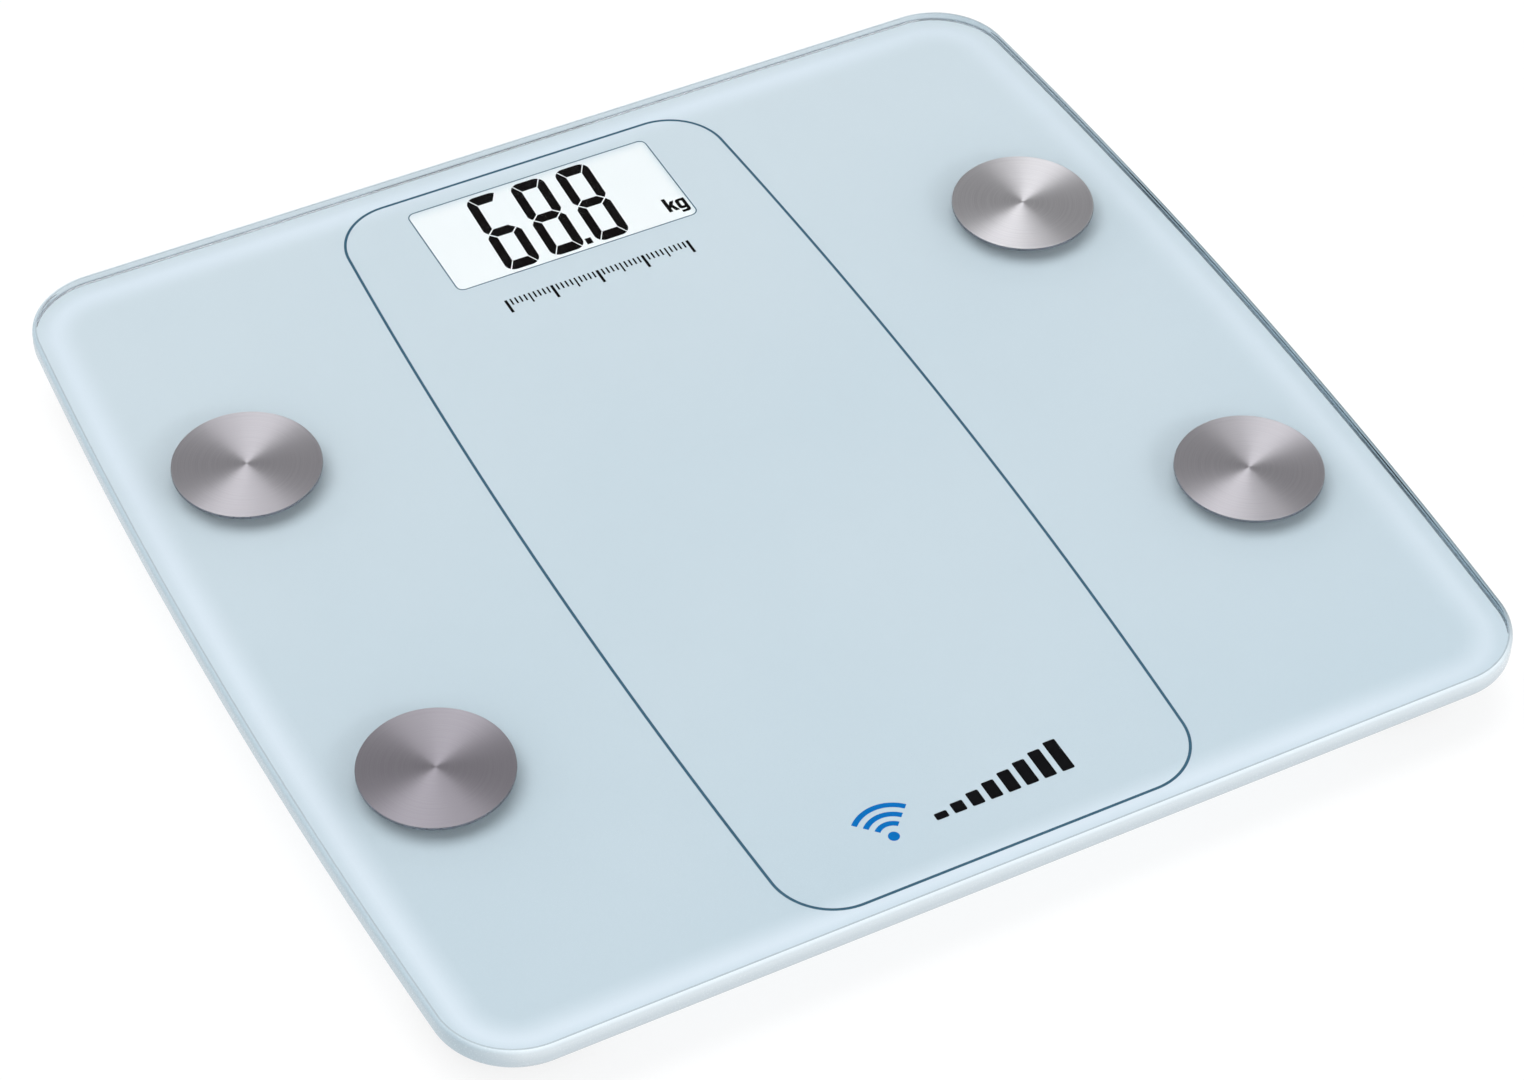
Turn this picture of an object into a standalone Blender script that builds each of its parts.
"""A glass bathroom scale with four body-analysis electrodes, as an assembly of separate parts.

Lengths are in metres. The origin is on the floor under the middle of the platform, +Z points up and
+Y points to the display. Each foot is pressed down by a load cell in a round housing under the glass,
and the electronics sit in a pod under the display.
"""

import math

import bmesh
import bpy
from mathutils import Matrix, Vector

GAP = 0.0003  # between parts that touch

# Glass platform
PLATFORM_WIDTH = 0.310
PLATFORM_DEPTH = 0.301
PLATFORM_THICKNESS = 0.006
PLATFORM_UNDERSIDE = 0.018
PLATFORM_TOP = PLATFORM_UNDERSIDE + PLATFORM_THICKNESS
PLATFORM_CORNER_RADIUS = 0.022
SIDE_BOW_RADIUS = 2.0
CORNER_STEPS = 8
SIDE_STEPS = 6
GLUE_LINE = PLATFORM_UNDERSIDE - GAP  # top of everything that is bonded under the glass

# Electrodes and what holds them
ELECTRODE_X = 0.118
ELECTRODE_Y = 0.060
ELECTRODE_RADIUS = 0.020
ELECTRODE_THICKNESS = 0.001
ELECTRODE_EDGE = 0.0004
STUD_RADIUS = 0.002
STUD_END = 0.0132
STUD_HOLE_RADIUS = 0.003
THREAD_HOLE_RADIUS = STUD_RADIUS + GAP
NUT_RADIUS = 0.0040
NUT_LOW = 0.0140
NUT_HIGH = 0.0166
TERMINAL_THICKNESS = 0.0008
TERMINAL_RADIUS = 0.0044
TERMINAL_TONGUE_LENGTH = 0.009
TERMINAL_TONGUE_WIDTH = 0.003

# Feet
FOOT_X = 0.1235
FOOT_Y = 0.1160
HOUSING_TOP_RADIUS = 0.0256
HOUSING_SHOULDER_RADIUS = 0.0240
HOUSING_SHOULDER = 0.0085
HOUSING_LOW_RADIUS = 0.0226
HOUSING_LOW = 0.006
HOUSING_ROOF = 0.0016
HOUSING_BORE = 0.0230
LIP_BORE = 0.0212
LIP_HEIGHT = 0.0021
SEAT_OFFSET = 0.0135
SEAT_RADIUS = 0.002
CELL_LOW = 0.0122
CELL_THICKNESS = 0.0015
CELL_HALF = 0.0165
CELL_CORNER = 0.003
CELL_SLOT_OUTER = 0.0085
CELL_SLOT_INNER = 0.0055
CUP_RADIUS = 0.0207
CUP_LOW = 0.0025
CUP_TOP = 0.0096
CUP_FLANGE_RADIUS = 0.0225
CUP_FLANGE_THICKNESS = 0.0012
CUP_POST_RADIUS = 0.004
FOOT_TRAVEL = 0.0006
CUP_POST_TOP = CELL_LOW - FOOT_TRAVEL - 0.0004
PAD_RADIUS = 0.0205
PAD_EDGE = 0.0004
PAD_TOP = CUP_LOW - GAP

# Electronics pod
POD_HALF_WIDTH = 0.074
POD_FRONT = 0.026
POD_BACK = 0.1445
POD_CORNER_RADIUS = 0.012
POD_LOW = 0.005
POD_FLOOR = 0.0016
POD_WALL = 0.0018
COVER_TOP = 0.0154
FRAME_LOW = COVER_TOP + GAP
SCREW_X = 0.065
SCREW_FRONT = 0.0355
SCREW_BACK = 0.135
SCREW_POST_RADIUS = 0.0044
SCREW_POST_TOP = 0.0082
SCREW_HEAD_RADIUS = 0.0028
SCREW_HEAD_LOW = 0.0052
SCREW_HEAD_TOP = 0.0066
SCREW_SHANK_RADIUS = 0.0014
SCREW_TIP = 0.0135
SCREW_HOLE_RADIUS = SCREW_SHANK_RADIUS + 0.00035
BOSS_RADIUS = 0.0034
BOSS_LOW = SCREW_POST_TOP + GAP
BOARD_POST_RADIUS = 0.0025
BOARD_POST_X = 0.050
BOARD_POST_FRONT = 0.090
BOARD_POST_BACK = 0.138

# Display
WINDOW_X = -0.00065
WINDOW_Y = 0.1188
DISPLAY_WIDTH = 0.0765
DISPLAY_DEPTH = 0.0375
DISPLAY_THICKNESS = 0.0015
BEZEL_WALL = 0.0022
BACKLIGHT_WIDTH = 0.0760
BACKLIGHT_DEPTH = 0.0340
ZEBRA_WIDTH = 0.0700
ZEBRA_DEPTH = 0.0020

# Circuit board
BOARD_HALF_WIDTH = 0.0605
BOARD_FRONT = 0.0860
BOARD_BACK = 0.1415
BOARD_LOW = 0.0105
BOARD_TOP = 0.0121
CHIP_X = 0.010
RADIO_X = -0.018
CHIP_Y = 0.092

# Unit button
BUTTON_X = 0.056
BUTTON_Y = 0.112
BUTTON_RADIUS = 0.005
BUTTON_LOW = 0.0045
BUTTON_FLANGE_RADIUS = 0.0063
BUTTON_FLANGE_LOW = POD_LOW + POD_FLOOR + GAP
BUTTON_TOP = 0.0077
BUTTON_TRAVEL = 0.0005
SWITCH_TIP = BUTTON_TOP + BUTTON_TRAVEL + 0.00015

# Battery bay
CELL_RADIUS = 0.00525
CELL_LENGTH = 0.0445
CELL_NUB_RADIUS = 0.0019
CELL_NUB_LENGTH = 0.0008
CELL_PITCH = 0.011
CELL_MIDDLE_Y = 0.0625
CELL_Z = 0.0120
BAY_HALF_WIDTH = 0.0286
BAY_HALF_DEPTH = 0.0187
BAY_WALL = 0.0015
CONTACT_THICKNESS = 0.0004
CONTACT_LOW = 0.0072
CONTACT_HIGH = 0.0152
CONTACT_HALF_WIDTH = 0.0042
SPRING_TURNS = 3
SPRING_STEPS = 8
SPRING_WIRE = 0.00035
SPRING_WIDE = 0.0033
SPRING_NARROW = 0.0022
BUMP_RADIUS = 0.0016
PIN_LENGTH = 0.0034
PIN_Z = 0.0136
DOOR_THICKNESS = 0.0014
DOOR_GAP = 0.0004
DOOR_AXIS_Y = CELL_MIDDLE_Y - BAY_HALF_DEPTH + DOOR_GAP + DOOR_THICKNESS / 2
DOOR_AXIS_Z = POD_LOW + DOOR_THICKNESS / 2
DOOR_PIN_RADIUS = 0.00055
DOOR_PIN_LENGTH = 0.0016

# Wires
CABLE_RADIUS = 0.0009
WIRE_RADIUS = 0.0007
LEAD_RADIUS = 0.0006
NOTCH_WIDTH = 0.0026
NOTCH_LOW = 0.0129
FRONT_CABLE_EXIT = math.radians(64)
BACK_CABLE_EXIT = math.radians(-13.3)
FRONT_WIRE_EXIT = math.radians(54.7)

SIDES = {"left": -1, "right": 1}
ENDS = {"front": -1, "back": 1}
ROUND_STEPS = 36
SMALL_STEPS = 16
TINY_STEPS = 10

for old in list(bpy.data.objects):
    bpy.data.objects.remove(old, do_unlink=True)

PARTS = bpy.data.collections.new("glass_body_scale")
CUTTERS = bpy.data.collections.new("cutters")
CUTTERS.hide_render = True
bpy.context.scene.collection.children.link(PARTS)
bpy.context.scene.collection.children.link(CUTTERS)


# ---- Materials ----


def material(name, colour, roughness, metallic=0.0):
    made = bpy.data.materials.new(name)
    made.use_nodes = True
    shader = made.node_tree.nodes["Principled BSDF"]
    shader.inputs["Base Color"].default_value = (*colour, 1.0)
    shader.inputs["Roughness"].default_value = roughness
    shader.inputs["Metallic"].default_value = metallic
    return made


GLASS = material("printed_glass", (0.59, 0.70, 0.77), 0.06)
STEEL = material("brushed_steel", (0.62, 0.60, 0.62), 0.30, 1.0)
ZINC = material("zinc_plated_steel", (0.60, 0.61, 0.62), 0.35, 1.0)
CELL_STEEL = material("load_cell_steel", (0.52, 0.52, 0.50), 0.40, 1.0)
WHITE_PLASTIC = material("white_plastic", (0.80, 0.82, 0.84), 0.45)
GREY_PLASTIC = material("grey_plastic", (0.16, 0.17, 0.18), 0.55)
BLACK_PLASTIC = material("black_plastic", (0.015, 0.016, 0.018), 0.45)
RUBBER = material("black_rubber", (0.020, 0.021, 0.022), 0.85)
BOARD_GREEN = material("circuit_board", (0.015, 0.12, 0.05), 0.45)
TIN = material("tinned_shield", (0.66, 0.66, 0.64), 0.30, 1.0)
DISPLAY_GLASS = material("display_glass", (0.82, 0.88, 0.90), 0.10)
LIGHT_GUIDE = material("light_guide", (0.92, 0.96, 1.00), 0.25)
ZEBRA_RUBBER = material("zebra_rubber", (0.20, 0.20, 0.24), 0.70)
BATTERY_WRAP = material("battery_wrap", (0.03, 0.05, 0.11), 0.35, 0.2)
NICKEL = material("nickel", (0.66, 0.63, 0.57), 0.28, 1.0)
CABLE_JACKET = material("cable_jacket", (0.72, 0.73, 0.75), 0.55)
RED_WIRE = material("red_wire", (0.45, 0.02, 0.02), 0.50)
BLACK_WIRE = material("black_wire", (0.02, 0.02, 0.02), 0.50)


# ---- Outlines in the XY plane ----


def arc(centre, radius, start, end, steps):
    angles = [start + (end - start) * i / steps for i in range(steps + 1)]
    return [(centre[0] + radius * math.cos(a), centre[1] + radius * math.sin(a)) for a in angles]


def circle(radius, steps, centre=(0.0, 0.0)):
    return arc(centre, radius, 0.0, 2 * math.pi, steps)[:-1]


def rectangle(half_width, half_depth, centre=(0.0, 0.0)):
    corners = ((-1, -1), (1, -1), (1, 1), (-1, 1))
    return [(centre[0] + x * half_width, centre[1] + y * half_depth) for x, y in corners]


def rounded_rectangle(half_width, half_depth, radius, steps, centre=(0.0, 0.0)):
    points = []
    for quarter, (x, y) in enumerate(((1, 1), (-1, 1), (-1, -1), (1, -1))):
        middle = (centre[0] + x * (half_width - radius), centre[1] + y * (half_depth - radius))
        start = quarter * math.pi / 2
        points += arc(middle, radius, start, start + math.pi / 2, steps)
    return points


def bowed_outline(half_width, half_depth, bow_radius, corner_radius):
    """A rectangle with rounded corners whose left and right sides are wide arcs."""
    bow_x = half_width - bow_radius
    corner_y = half_depth - corner_radius
    corner_x = bow_x + math.sqrt((bow_radius - corner_radius) ** 2 - corner_y**2)
    tangent = math.atan2(corner_y, corner_x - bow_x)
    side = arc((bow_x, 0.0), bow_radius, -tangent, tangent, SIDE_STEPS)
    corner = arc((corner_x, corner_y), corner_radius, tangent, math.pi / 2, CORNER_STEPS)
    right = [(x, -y) for x, y in reversed(corner[1:])] + side + corner[1:]
    return right + [(-x, -y) for x, y in right]


def smooth_route(points, samples):
    """Points on a Catmull-Rom curve through the given ones, with this many for each span."""
    ends = [2 * points[0] - points[1], *points, 2 * points[-1] - points[-2]]
    route = []
    for i in range(1, len(ends) - 2):
        before, start, end, after = ends[i - 1 : i + 3]
        for step in range(samples):
            t = step / samples
            route.append(
                0.5
                * (
                    2 * start
                    + (end - before) * t
                    + (2 * before - 5 * start + 4 * end - after) * t**2
                    + (3 * start - before - 3 * end + after) * t**3
                )
            )
    return [*route, points[-1]]


# ---- Solids ----


def add(name, data, finish, location=(0.0, 0.0, 0.0)):
    data.name = name
    if finish is not None:
        data.materials.append(finish)
    made = bpy.data.objects.new(name, data)
    made.location = location
    PARTS.objects.link(made)
    return made


def shade_smooth(mesh):
    mesh.shade_smooth()
    mesh.set_sharp_from_angle(angle=math.radians(35))


def plate(name, outlines, low, high, finish, place=(0.0, 0.0)):
    """A flat plate: the first outline is its edge, the others are its holes."""
    curve = bpy.data.curves.new(name, "CURVE")
    curve.dimensions = "2D"
    curve.fill_mode = "BOTH"
    curve.extrude = (high - low) / 2
    for outline in outlines:
        spline = curve.splines.new("POLY")
        spline.points.add(len(outline) - 1)
        for point, (x, y) in zip(spline.points, outline):
            point.co = (x, y, 0.0, 1.0)
        spline.use_cyclic_u = True
    return add(name, curve, finish, (*place, (low + high) / 2))


def tube(name, route, radius, finish, location=(0.0, 0.0, 0.0)):
    curve = bpy.data.curves.new(name, "CURVE")
    curve.dimensions = "3D"
    curve.bevel_depth = radius
    curve.bevel_resolution = 2
    curve.use_fill_caps = True
    spline = curve.splines.new("POLY")
    spline.points.add(len(route) - 1)
    for point, place in zip(spline.points, route):
        point.co = (*place, 1.0)
    return add(name, curve, finish, location)


def box(name, size, centre, finish, origin=(0.0, 0.0, 0.0)):
    mesh = bpy.data.meshes.new(name)
    shape = bmesh.new()
    moved = Matrix.Translation(Vector(centre) - Vector(origin)) @ Matrix.Diagonal((*size, 1.0))
    bmesh.ops.create_cube(shape, size=1.0, matrix=moved)
    shape.to_mesh(mesh)
    shape.free()
    return add(name, mesh, finish, origin)


def rod(name, radius, start, end, finish, steps=SMALL_STEPS, origin=(0.0, 0.0, 0.0)):
    """A cylinder between two points."""
    start, end, origin = Vector(start), Vector(end), Vector(origin)
    along = end - start
    turn = along.to_track_quat("Z", "Y").to_matrix().to_4x4()
    mesh = bpy.data.meshes.new(name)
    shape = bmesh.new()
    bmesh.ops.create_cone(
        shape,
        cap_ends=True,
        segments=steps,
        radius1=radius,
        radius2=radius,
        depth=along.length,
        matrix=Matrix.Translation((start + end) / 2 - origin) @ turn,
    )
    shape.to_mesh(mesh)
    shape.free()
    shade_smooth(mesh)
    return add(name, mesh, finish, origin)


def as_mesh(source):
    """The same object as a closed mesh with its modifiers applied, which a Boolean can use."""
    name = source.name
    bpy.context.view_layer.update()
    place = source.matrix_world.copy()
    graph = bpy.context.evaluated_depsgraph_get()
    mesh = bpy.data.meshes.new_from_object(source.evaluated_get(graph))
    shape = bmesh.new()
    shape.from_mesh(mesh)
    bmesh.ops.remove_doubles(shape, verts=shape.verts, dist=0.000002)
    bmesh.ops.recalc_face_normals(shape, faces=shape.faces)
    shape.to_mesh(mesh)
    shape.free()
    bpy.data.objects.remove(source, do_unlink=True)
    made = bpy.data.objects.new(name, mesh)
    mesh.name = name
    made.matrix_world = place
    PARTS.objects.link(made)
    return made


def turned(name, profile, finish, location=(0.0, 0.0, 0.0), steps=ROUND_STEPS, ring=False):
    """A profile of (radius, height) turned about Z. It starts at the top and runs down the outside."""
    mesh = bpy.data.meshes.new(name)
    points = [(radius, 0.0, height) for radius, height in profile]
    edges = [(i, i + 1) for i in range(len(points) - 1)]
    if ring:
        edges.append((len(points) - 1, 0))
    mesh.from_pydata(points, edges, [])
    made = add(name, mesh, finish, location)
    screw = made.modifiers.new("turn", "SCREW")
    screw.axis = "Z"
    screw.steps = steps
    screw.render_steps = steps
    screw.use_merge_vertices = True
    screw.merge_threshold = 0.00001
    made = as_mesh(made)
    shade_smooth(made.data)
    return made


def combine(target, operation, tool):
    """Cuts the tool from the target, or joins it on. The tool becomes a hidden helper.

    The cover's long thin faces leave gaps under the EXACT solver, so it takes the MANIFOLD one.
    """
    PARTS.objects.unlink(tool)
    CUTTERS.objects.link(tool)
    tool.hide_render = True
    tool.display_type = "WIRE"
    modifier = target.modifiers.new(tool.name, "BOOLEAN")
    modifier.operation = operation
    modifier.solver = "MANIFOLD" if target.name == "bottom_cover" else "EXACT"
    modifier.object = tool


def cut(target, tool):
    combine(target, "DIFFERENCE", tool)


def join(target, tool):
    combine(target, "UNION", tool)


def corners():
    """The name, side and end of each of the four corners."""
    return [(f"{end}_{side}", x, y) for end, y in ENDS.items() for side, x in SIDES.items()]


# ---- Glass platform and electrodes ----


def make_platform():
    holes = [
        circle(STUD_HOLE_RADIUS, SMALL_STEPS, (x * ELECTRODE_X, y * ELECTRODE_Y))
        for _, x, y in corners()
    ]
    edge = bowed_outline(
        PLATFORM_WIDTH / 2, PLATFORM_DEPTH / 2, SIDE_BOW_RADIUS, PLATFORM_CORNER_RADIUS
    )
    plate("glass_platform", [edge, *holes], PLATFORM_UNDERSIDE, PLATFORM_TOP, GLASS)


def make_electrode(name, x, y):
    low = PLATFORM_TOP + GAP
    top = low + ELECTRODE_THICKNESS
    profile = [
        (0.0, top),
        (ELECTRODE_RADIUS - ELECTRODE_EDGE, top),
        (ELECTRODE_RADIUS, top - ELECTRODE_EDGE),
        (ELECTRODE_RADIUS, low),
        (STUD_RADIUS, low),
        (STUD_RADIUS, STUD_END),
        (0.0, STUD_END),
    ]
    place = (x * ELECTRODE_X, y * ELECTRODE_Y, 0.0)
    turned(f"electrode_{name}", profile, STEEL, place)


def make_electrode_nut(name, x, y):
    outlines = [circle(NUT_RADIUS, 6), circle(THREAD_HOLE_RADIUS, SMALL_STEPS)]
    place = (x * ELECTRODE_X, y * ELECTRODE_Y)
    plate(f"electrode_nut_{name}", outlines, NUT_LOW, NUT_HIGH, ZINC, place)


def terminal_outline():
    """A ring with a tongue along +X."""
    half = TERMINAL_TONGUE_WIDTH / 2
    start = math.asin(half / TERMINAL_RADIUS)
    ring = arc((0.0, 0.0), TERMINAL_RADIUS, start, 2 * math.pi - start, SMALL_STEPS)
    return [*ring, (TERMINAL_TONGUE_LENGTH, -half), (TERMINAL_TONGUE_LENGTH, half)]


def make_electrode_wire(name, x, y):
    """A wire with a ring terminal that the nut clamps, led under the glass into the pod."""
    low = GLUE_LINE - TERMINAL_THICKNESS
    heading = FRONT_WIRE_EXIT if y < 0 else 0.0
    if x > 0:
        heading = math.pi - heading
    outlines = [terminal_outline(), circle(THREAD_HOLE_RADIUS, SMALL_STEPS)]
    terminal = plate(f"terminal_{name}", outlines, low, GLUE_LINE, None)
    terminal.location.x = x * ELECTRODE_X
    terminal.location.y = y * ELECTRODE_Y
    terminal.rotation_euler.z = heading
    level = GLUE_LINE - WIRE_RADIUS
    if y < 0:
        route = [
            (0.1142, -0.0547, level),
            (0.1110, -0.0502, level),
            (0.098, -0.032, level),
            (0.078, -0.002, level),
            (0.063, 0.015, 0.0166),
            (0.0577, 0.0215, 0.0154),
            (0.057, 0.028, 0.0141),
            (0.057, 0.050, 0.0141),
            (0.057, 0.082, 0.0139),
            (0.057, 0.092, 0.0131),
        ]
    else:
        route = [
            (0.1115, 0.060, level),
            (0.104, 0.060, level),
            (0.090, 0.061, level),
            (0.081, 0.062, 0.0155),
            (0.074, 0.062, 0.0141),
            (0.068, 0.065, 0.0141),
            (0.0645, 0.077, 0.0141),
            (0.0622, 0.087, 0.0137),
            (0.0595, 0.094, 0.0131),
        ]
    points = smooth_route([Vector((x * px, py, pz)) for px, py, pz in route], 2)
    wire = as_mesh(tube(f"electrode_wire_{name}", points, WIRE_RADIUS, RED_WIRE))
    join(wire, as_mesh(terminal))


# ---- Feet ----


def foot_anchor(name, x, y):
    """An empty on the axis that a foot slides along."""
    anchor = bpy.data.objects.new(f"foot_axis_{name}", None)
    anchor.location = (x * FOOT_X, y * FOOT_Y, 0.0)
    PARTS.objects.link(anchor)
    return anchor


def cable_exit(x, y):
    """The direction, from the foot's axis, in which its cable leaves."""
    heading = FRONT_CABLE_EXIT if y < 0 else BACK_CABLE_EXIT
    return Vector((-x * math.cos(heading), math.sin(heading), 0.0))


def make_foot_housing(name, x, y, anchor):
    profile = [
        (0.0, GLUE_LINE),
        (HOUSING_TOP_RADIUS, GLUE_LINE),
        (HOUSING_SHOULDER_RADIUS, HOUSING_SHOULDER),
        (HOUSING_LOW_RADIUS, HOUSING_LOW),
        (LIP_BORE, HOUSING_LOW),
        (LIP_BORE, HOUSING_LOW + LIP_HEIGHT),
        (HOUSING_BORE, HOUSING_LOW + LIP_HEIGHT),
        (HOUSING_BORE, GLUE_LINE - HOUSING_ROOF),
        (0.0, GLUE_LINE - HOUSING_ROOF),
    ]
    housing = turned(f"foot_housing_{name}", profile, WHITE_PLASTIC)
    housing.parent = anchor
    seat_low = CELL_LOW + CELL_THICKNESS + GAP
    roof = GLUE_LINE - HOUSING_ROOF / 2
    for i, (sx, sy) in enumerate(((1, 1), (-1, 1), (-1, -1), (1, -1))):
        foot = (sx * SEAT_OFFSET, sy * SEAT_OFFSET, seat_low)
        head = (sx * SEAT_OFFSET, sy * SEAT_OFFSET, roof)
        seat = rod(f"seat_{name}_{i}", SEAT_RADIUS, foot, head, None, TINY_STEPS)
        seat.parent = anchor
        join(housing, seat)
    notch_size = (0.006, NOTCH_WIDTH, 0.0027)
    notch = box(f"cable_notch_{name}", notch_size, (0.0, 0.0, 0.0), None)
    outward = cable_exit(x, y)
    notch.location = outward * 0.0245
    notch.location.z = 0.01475
    notch.rotation_euler.z = math.atan2(outward.y, outward.x)
    notch.parent = anchor
    cut(housing, notch)


def make_load_cell(name, anchor):
    """A square steel plate with a U-shaped slot that frees its middle tongue."""
    outer, inner = CELL_SLOT_OUTER, CELL_SLOT_INNER
    slot = [
        (-outer, -outer),
        (outer, -outer),
        (outer, outer),
        (inner, outer),
        (inner, -inner),
        (-inner, -inner),
        (-inner, outer),
        (-outer, outer),
    ]
    edge = rounded_rectangle(CELL_HALF, CELL_HALF, CELL_CORNER, 4)
    cell = plate(
        f"load_cell_{name}", [edge, slot], CELL_LOW, CELL_LOW + CELL_THICKNESS, CELL_STEEL
    )
    cell.parent = anchor


def make_foot_cup(name, anchor):
    flange_low = CUP_TOP - CUP_FLANGE_THICKNESS
    profile = [
        (0.0, CUP_POST_TOP),
        (CUP_POST_RADIUS, CUP_POST_TOP),
        (CUP_POST_RADIUS, CUP_TOP),
        (CUP_FLANGE_RADIUS, CUP_TOP),
        (CUP_FLANGE_RADIUS, flange_low),
        (CUP_RADIUS, flange_low),
        (CUP_RADIUS, CUP_LOW),
        (0.0, CUP_LOW),
    ]
    turned(f"foot_cup_{name}", profile, GREY_PLASTIC).parent = anchor


def make_rubber_pad(name, anchor):
    profile = [
        (0.0, PAD_TOP),
        (PAD_RADIUS, PAD_TOP),
        (PAD_RADIUS, PAD_EDGE),
        (PAD_RADIUS - PAD_EDGE, 0.0),
        (0.0, 0.0),
    ]
    turned(f"rubber_pad_{name}", profile, RUBBER).parent = anchor


def make_cell_cable(name, x, y):
    """The load cell's cable, out through the notch in its housing and on to the circuit board."""
    outward = cable_exit(x, y)
    axis = Vector((x * FOOT_X, y * FOOT_Y, 0.0))
    inside = [(0.008, 0.0149), (0.019, 0.0149), (0.026, 0.0149)]
    points = [axis + outward * r + Vector((0.0, 0.0, z)) for r, z in inside]
    level = GLUE_LINE - CABLE_RADIUS
    if y < 0:
        points += [axis + outward * r + Vector((0.0, 0.0, z)) for r, z in ((0.031, 0.0156), (0.038, level))]
        route = [
            (0.096, -0.062, level),
            (0.076, -0.022, level),
            (0.058, 0.008, level),
            (0.0505, 0.020, 0.0156),
            (0.049, 0.028, 0.0141),
            (0.049, 0.050, 0.0141),
            (0.049, 0.082, 0.0140),
            (0.049, 0.092, 0.0133),
        ]
    else:
        route = [
            (0.088, 0.1075, 0.0153),
            (0.079, 0.1045, 0.0146),
            (0.073, 0.104, 0.0141),
            (0.066, 0.104, 0.0138),
            (0.059, 0.104, 0.0133),
        ]
    points += [Vector((x * px, py, pz)) for px, py, pz in route]
    tube(f"cell_cable_{name}", smooth_route(points, 2), CABLE_RADIUS, CABLE_JACKET)


# ---- Electronics pod ----


def pod_outline(inset):
    half_depth = (POD_BACK - POD_FRONT) / 2
    return rounded_rectangle(
        POD_HALF_WIDTH - inset,
        half_depth - inset,
        POD_CORNER_RADIUS - inset,
        6,
        (0.0, POD_FRONT + half_depth),
    )


def bay_outline(grow):
    centre = (0.0, CELL_MIDDLE_Y)
    return rectangle(BAY_HALF_WIDTH + grow, BAY_HALF_DEPTH + grow, centre)


def screw_places():
    return [(x * SCREW_X, y) for x in (-1, 1) for y in (SCREW_FRONT, SCREW_BACK)]


def board_post_places():
    return [(x * BOARD_POST_X, y) for x in (-1, 1) for y in (BOARD_POST_FRONT, BOARD_POST_BACK)]


def make_mounting_frame():
    """The plate bonded under the glass. It holds the display and takes the cover's screws."""
    outlines = [pod_outline(0.0), display_outline(BEZEL_WALL + 2 * GAP), bay_outline(GAP)]
    frame = as_mesh(plate("mounting_frame", outlines, FRAME_LOW, GLUE_LINE, WHITE_PLASTIC))
    for i, (x, y) in enumerate(screw_places()):
        root = (x, y, (FRAME_LOW + GLUE_LINE) / 2)
        join(frame, rod(f"boss_{i}", BOSS_RADIUS, (x, y, BOSS_LOW), root, None))
        hole_end = (x, y, SCREW_TIP + 0.001)
        cut(frame, rod(f"pilot_{i}", SCREW_HOLE_RADIUS, (x, y, BOSS_LOW - 0.001), hole_end, None))


def shorten_posts(cover, places, radius, top):
    """Cuts off the posts above this height."""
    for x, y in places:
        trimmer = rod("post_trimmer", radius + 0.0005, (x, y, top), (x, y, COVER_TOP + 0.002), None)
        cut(cover, trimmer)


def make_bottom_cover():
    """The tub that closes the pod: outer walls, battery bay, screw posts and board posts."""
    floor_top = POD_LOW + POD_FLOOR
    button_hole = circle(BUTTON_RADIUS + 0.00035, SMALL_STEPS, (BUTTON_X, BUTTON_Y))
    outlines = [pod_outline(0.0), bay_outline(0.0), button_hole]
    cover = as_mesh(plate("bottom_cover", outlines, POD_LOW, COVER_TOP, WHITE_PLASTIC))
    posts = [circle(SCREW_POST_RADIUS, SMALL_STEPS, place) for place in screw_places()]
    posts += [circle(BOARD_POST_RADIUS, TINY_STEPS, place) for place in board_post_places()]
    hollow = [pod_outline(POD_WALL), bay_outline(BAY_WALL), *posts]
    cut(cover, as_mesh(plate("hollow", hollow, floor_top, COVER_TOP + 0.002, None)))
    shorten_posts(cover, screw_places(), SCREW_POST_RADIUS, SCREW_POST_TOP)
    shorten_posts(cover, board_post_places(), BOARD_POST_RADIUS, BOARD_LOW - GAP)
    for i, (x, y) in enumerate(screw_places()):
        recess_top = (x, y, SCREW_HEAD_TOP + GAP)
        cut(cover, rod(f"recess_{i}", SCREW_HEAD_RADIUS + 0.0004, (x, y, 0.003), recess_top, None))
        cut(cover, rod(f"screw_hole_{i}", SCREW_HOLE_RADIUS, (x, y, 0.003), (x, y, 0.0095), None))
    notch_height = COVER_TOP + 0.001 - NOTCH_LOW
    notch_z = NOTCH_LOW + notch_height / 2
    notches = [(x, POD_FRONT, False) for x in (-0.057, -0.049, 0.049, 0.057)]
    notches += [(side * POD_HALF_WIDTH, y, True) for side in (-1, 1) for y in (0.062, 0.104)]
    for i, (x, y, in_side_wall) in enumerate(notches):
        across, along = (0.006, NOTCH_WIDTH) if in_side_wall else (NOTCH_WIDTH, 0.006)
        cut(cover, box(f"wire_notch_{i}", (across, along, notch_height), (x, y, notch_z), None))
    for i, (side, row) in enumerate(((1, -1), (-1, 1))):
        place = (side * (BAY_HALF_WIDTH + BAY_WALL / 2), CELL_MIDDLE_Y + row * CELL_PITCH, notch_z)
        cut(cover, box(f"pin_notch_{i}", (0.004, 0.0022, notch_height), place, None))
    for i, side in enumerate((-1, 1)):
        size = (2 * DOOR_PIN_LENGTH, 0.0019, 0.004)
        place = (side * BAY_HALF_WIDTH, DOOR_AXIS_Y, POD_LOW)
        cut(cover, box(f"door_slot_{i}", size, place, None))


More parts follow.
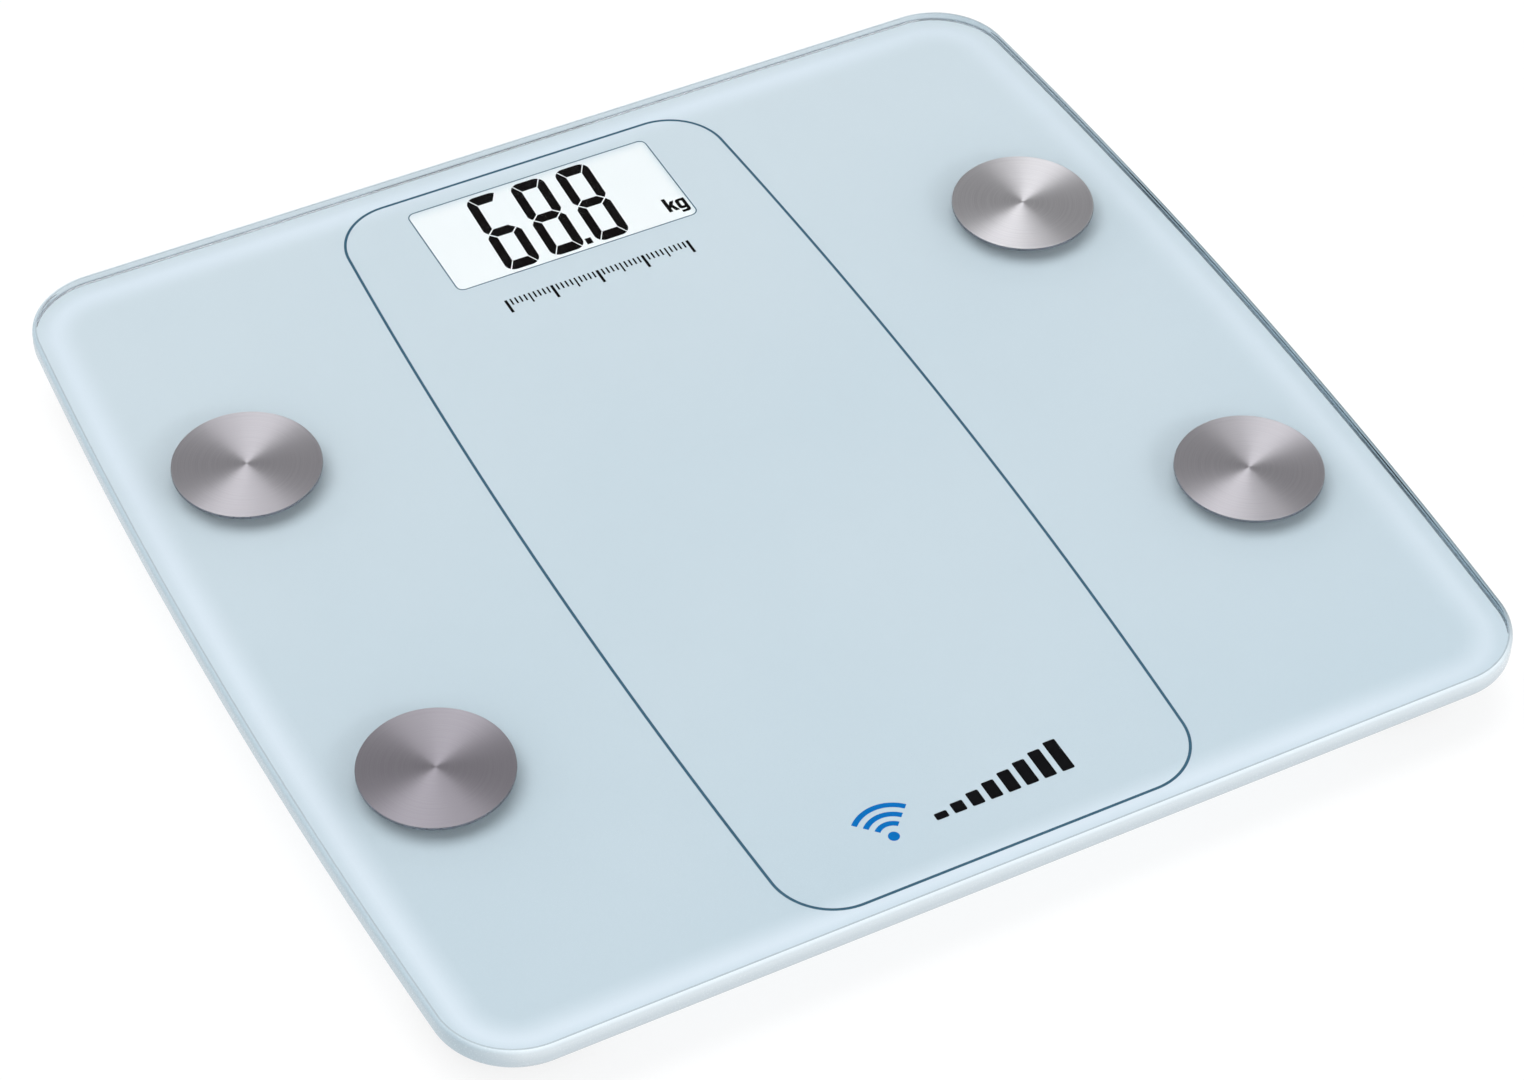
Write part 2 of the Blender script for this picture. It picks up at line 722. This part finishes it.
def make_cover_screw(index, x, y):
    profile = [
        (0.0, SCREW_TIP),
        (SCREW_SHANK_RADIUS, SCREW_TIP),
        (SCREW_SHANK_RADIUS, SCREW_HEAD_TOP),
        (SCREW_HEAD_RADIUS, SCREW_HEAD_TOP),
        (SCREW_HEAD_RADIUS, SCREW_HEAD_LOW),
        (0.0, SCREW_HEAD_LOW),
    ]
    turned(f"cover_screw_{index}", profile, ZINC, (x, y, 0.0), SMALL_STEPS)


def display_outline(grow):
    """The display panel's edge, moved out by this much."""
    return rectangle(DISPLAY_WIDTH / 2 + grow, DISPLAY_DEPTH / 2 + grow, (WINDOW_X, WINDOW_Y))


def make_display():
    """The panel lies in its bezel against the glass, with the backlight and connector under it."""
    bezel = [display_outline(BEZEL_WALL + GAP), display_outline(GAP)]
    plate("display_bezel", bezel, FRAME_LOW, GLUE_LINE, WHITE_PLASTIC)
    panel_low = GLUE_LINE - DISPLAY_THICKNESS
    plate("display_panel", [display_outline(0.0)], panel_low, GLUE_LINE, DISPLAY_GLASS)
    low = BOARD_TOP + GAP
    high = panel_low - GAP
    middle_z = (low + high) / 2
    light_y = WINDOW_Y - (DISPLAY_DEPTH - BACKLIGHT_DEPTH) / 2 + GAP
    light_size = (BACKLIGHT_WIDTH, BACKLIGHT_DEPTH, high - low)
    box("display_backlight", light_size, (WINDOW_X, light_y, middle_z), LIGHT_GUIDE)
    zebra_y = WINDOW_Y + (DISPLAY_DEPTH - ZEBRA_DEPTH) / 2 - GAP
    zebra_size = (ZEBRA_WIDTH, ZEBRA_DEPTH, high - low)
    box("display_connector", zebra_size, (WINDOW_X, zebra_y, middle_z), ZEBRA_RUBBER)


def make_circuit_board():
    middle = (0.0, (BOARD_FRONT + BOARD_BACK) / 2)
    edge = rectangle(BOARD_HALF_WIDTH, (BOARD_BACK - BOARD_FRONT) / 2, middle)
    plate("circuit_board", [edge], BOARD_LOW, BOARD_TOP, BOARD_GREEN)
    chip_low = BOARD_TOP + GAP
    box("controller_chip", (0.009, 0.009, 0.0012), (CHIP_X, CHIP_Y, chip_low + 0.0006), BLACK_PLASTIC)
    box("radio_module", (0.015, 0.0095, 0.0018), (RADIO_X, CHIP_Y, chip_low + 0.0009), TIN)
    switch_top = BOARD_LOW - GAP
    body_low = switch_top - 0.0012
    body_z = (switch_top + body_low) / 2
    switch = box("unit_switch", (0.0045, 0.0045, 0.0012), (BUTTON_X, BUTTON_Y, body_z), BLACK_PLASTIC)
    tip = (BUTTON_X, BUTTON_Y, SWITCH_TIP)
    join(switch, rod("switch_plunger", 0.0012, tip, (BUTTON_X, BUTTON_Y, body_z), None, TINY_STEPS))


def make_unit_button():
    profile = [
        (0.0, BUTTON_TOP),
        (BUTTON_FLANGE_RADIUS, BUTTON_TOP),
        (BUTTON_FLANGE_RADIUS, BUTTON_FLANGE_LOW),
        (BUTTON_RADIUS, BUTTON_FLANGE_LOW),
        (BUTTON_RADIUS, BUTTON_LOW),
        (0.0, BUTTON_LOW),
    ]
    turned("unit_button", profile, GREY_PLASTIC, (BUTTON_X, BUTTON_Y, 0.0), 32)


# ---- Batteries ----


def cell_y(row):
    return CELL_MIDDLE_Y + row * CELL_PITCH


def make_battery(index, row, positive):
    """A cell along X with its positive nub towards the given side."""
    half = CELL_LENGTH / 2
    shoulder = half - CELL_NUB_LENGTH
    profile = [
        (0.0, half),
        (CELL_NUB_RADIUS, half),
        (CELL_NUB_RADIUS, shoulder),
        (CELL_RADIUS, shoulder),
        (CELL_RADIUS, -half),
        (0.0, -half),
    ]
    battery = turned(f"battery_{index}", profile, BATTERY_WRAP, (0.0, cell_y(row), CELL_Z), 24)
    battery.rotation_euler.y = positive * math.pi / 2


def make_contact(name, side, rows, with_pin):
    """A nickel plate at one end of the bay. Rows pair each cell's row with its pole at this end."""
    inner = BAY_HALF_WIDTH - GAP - CONTACT_THICKNESS
    ys = [cell_y(row) for row, _ in rows]
    width = max(ys) - min(ys) + 2 * CONTACT_HALF_WIDTH
    centre = (side * (inner + CONTACT_THICKNESS / 2), sum(ys) / len(ys), (CONTACT_LOW + CONTACT_HIGH) / 2)
    contact = box(name, (CONTACT_THICKNESS, width, CONTACT_HIGH - CONTACT_LOW), centre, NICKEL)
    reach = inner - CELL_LENGTH / 2 - GAP
    root = inner + CONTACT_THICKNESS / 2
    for row, pole in rows:
        y = cell_y(row)
        if pole > 0:
            bump_root = (side * root, y, CELL_Z)
            bump_end = (side * (inner - reach), y, CELL_Z)
            join(contact, rod(f"{name}_bump_{row}", BUMP_RADIUS, bump_root, bump_end, None, TINY_STEPS))
            continue
        count = SPRING_TURNS * SPRING_STEPS
        coil = []
        for i in range(count + 1):
            part = i / count
            angle = 2 * math.pi * SPRING_TURNS * part
            radius = SPRING_WIDE + (SPRING_NARROW - SPRING_WIDE) * part
            x = side * (inner - SPRING_WIRE * 0.4 - (reach - SPRING_WIRE * 1.4) * part)
            coil.append((x, y + radius * math.cos(angle), CELL_Z + radius * math.sin(angle)))
        join(contact, as_mesh(tube(f"{name}_spring_{row}", coil, SPRING_WIRE, None)))
    if with_pin:
        pin_x = side * (root + PIN_LENGTH / 2)
        join(contact, box(f"{name}_pin", (PIN_LENGTH, 0.0012, 0.0008), (pin_x, ys[0], PIN_Z), None))


def make_battery_leads():
    start = BAY_HALF_WIDTH - GAP - CONTACT_THICKNESS / 2 + PIN_LENGTH + GAP
    routes = {
        "battery_lead_positive": (RED_WIRE, 1, cell_y(-1)),
        "battery_lead_negative": (BLACK_WIRE, -1, cell_y(1)),
    }
    for name, (finish, side, y) in routes.items():
        route = [
            (start, y, PIN_Z),
            (start + 0.004, y + 0.0012, PIN_Z),
            (0.0395, y + 0.006, PIN_Z),
            (0.040, 0.084, 0.0134),
            (0.040, 0.090, 0.0130),
        ]
        points = smooth_route([Vector((side * px, py, pz)) for px, py, pz in route], 3)
        tube(name, points, LEAD_RADIUS, finish)


def make_battery_door():
    """A lid that turns on two pins at its front edge, with a springy tongue at its back edge."""
    half_width = BAY_HALF_WIDTH - DOOR_GAP
    back = CELL_MIDDLE_Y + BAY_HALF_DEPTH - DOOR_GAP
    axis = (0.0, DOOR_AXIS_Y, DOOR_AXIS_Z)
    size = (2 * half_width, back - DOOR_AXIS_Y, DOOR_THICKNESS)
    middle = (0.0, (back + DOOR_AXIS_Y) / 2, DOOR_AXIS_Z)
    door = box("battery_door", size, middle, WHITE_PLASTIC, axis)
    edge_start = (-half_width, DOOR_AXIS_Y, DOOR_AXIS_Z)
    edge_end = (half_width, DOOR_AXIS_Y, DOOR_AXIS_Z)
    join(door, rod("door_edge", DOOR_THICKNESS / 2, edge_start, edge_end, None, SMALL_STEPS))
    pin_reach = half_width + DOOR_PIN_LENGTH
    pin_start = (-pin_reach, DOOR_AXIS_Y, DOOR_AXIS_Z)
    pin_end = (pin_reach, DOOR_AXIS_Y, DOOR_AXIS_Z)
    join(door, rod("door_pins", DOOR_PIN_RADIUS, pin_start, pin_end, None, TINY_STEPS))
    tongue_half, tongue_length, slit = 0.007, 0.009, 0.0008
    for side in (-1, 1):
        place = (side * tongue_half, back - tongue_length / 2 + 0.001, DOOR_AXIS_Z)
        slit_size = (slit, tongue_length + 0.002, 0.004)
        cut(door, box(f"door_slit_{side + 1}", slit_size, place, None))


def main():
    make_platform()
    for name, x, y in corners():
        make_electrode(name, x, y)
        make_electrode_nut(name, x, y)
        make_electrode_wire(name, x, y)
        anchor = foot_anchor(name, x, y)
        make_foot_housing(name, x, y, anchor)
        make_load_cell(name, anchor)
        make_foot_cup(name, anchor)
        make_rubber_pad(name, anchor)
        make_cell_cable(name, x, y)
    make_mounting_frame()
    make_bottom_cover()
    for index, (x, y) in enumerate(screw_places(), 1):
        make_cover_screw(index, x, y)
    make_display()
    make_circuit_board()
    make_unit_button()
    for index, (row, positive) in enumerate(((-1, 1), (0, -1), (1, 1)), 1):
        make_battery(index, row, positive)
    make_contact("battery_contact_positive", 1, [(-1, 1)], True)
    make_contact("battery_contact_negative", -1, [(1, -1)], True)
    make_contact("battery_bridge_right", 1, [(0, -1), (1, 1)], False)
    make_contact("battery_bridge_left", -1, [(-1, -1), (0, 1)], False)
    make_battery_leads()
    make_battery_door()


main()
